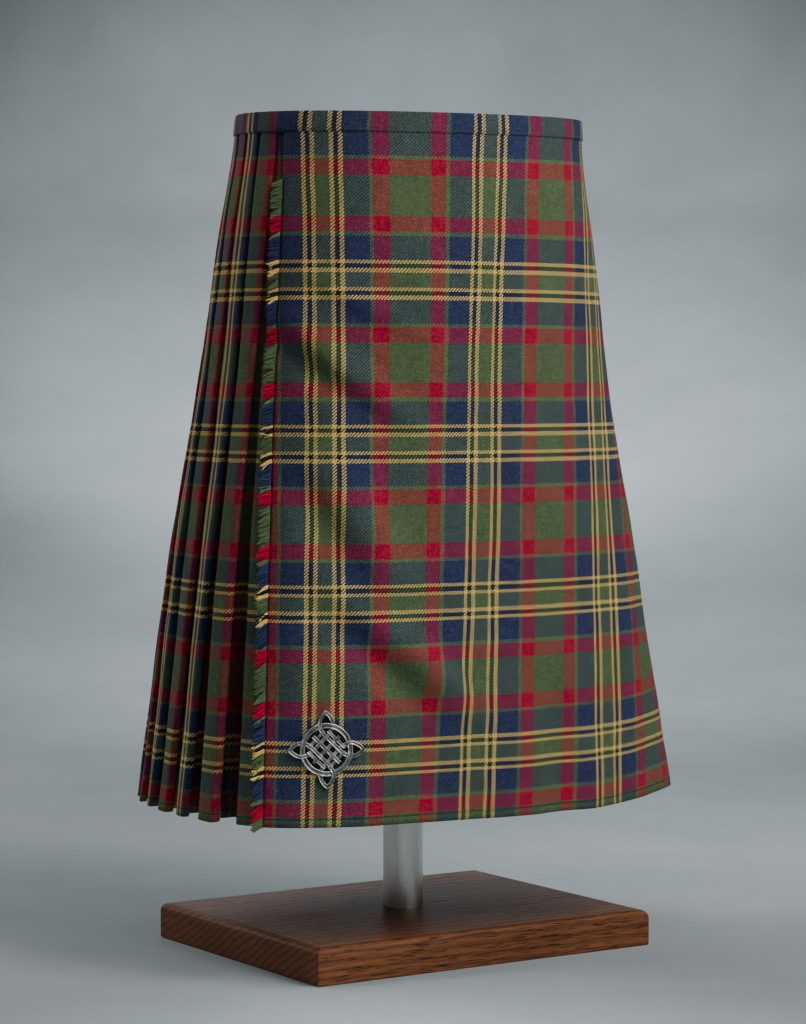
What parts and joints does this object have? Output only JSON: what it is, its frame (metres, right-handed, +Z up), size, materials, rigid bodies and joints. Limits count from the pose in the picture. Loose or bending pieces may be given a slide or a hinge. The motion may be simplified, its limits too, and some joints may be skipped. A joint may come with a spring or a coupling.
{
  "type": "scottish kilt on a display stand",
  "caption": "Pleated tartan wool kilt with a fringed over-apron, waistband and openwork kilt pin, carried hollow on an oval form, a steel post and an oak base.",
  "frame": {"origin": "middle of the stand base's underside, on the surface that it rests on", "axes": "+Z up along the post; the front of the kilt faces -Y; +X is the wearer's left"},
  "size_m": [0.4856, 0.3814, 0.7445],
  "materials": {
    "tartan": "twill wool tartan in green, navy, red and gold, matt with a light nap",
    "fringe": "loose wool yarn in the tartan's colours",
    "pin_metal": "antique silver, dark in the recesses",
    "form_felt": "plain charcoal felt",
    "post_steel": "brushed lengthwise",
    "base_oak": "dark stained oak, satin varnish"
  },
  "bodies": {
    "root": {"over_apron": "tartan", "under_apron": "tartan", "pleats_left": "tartan", "pleats_right": "tartan", "waistband": "tartan", "apron_fringe": "fringe", "kilt_pin": "pin_metal", "waist_form": "form_felt", "stand_post": "post_steel", "stand_base": "base_oak"}
  },
  "joints": []
}
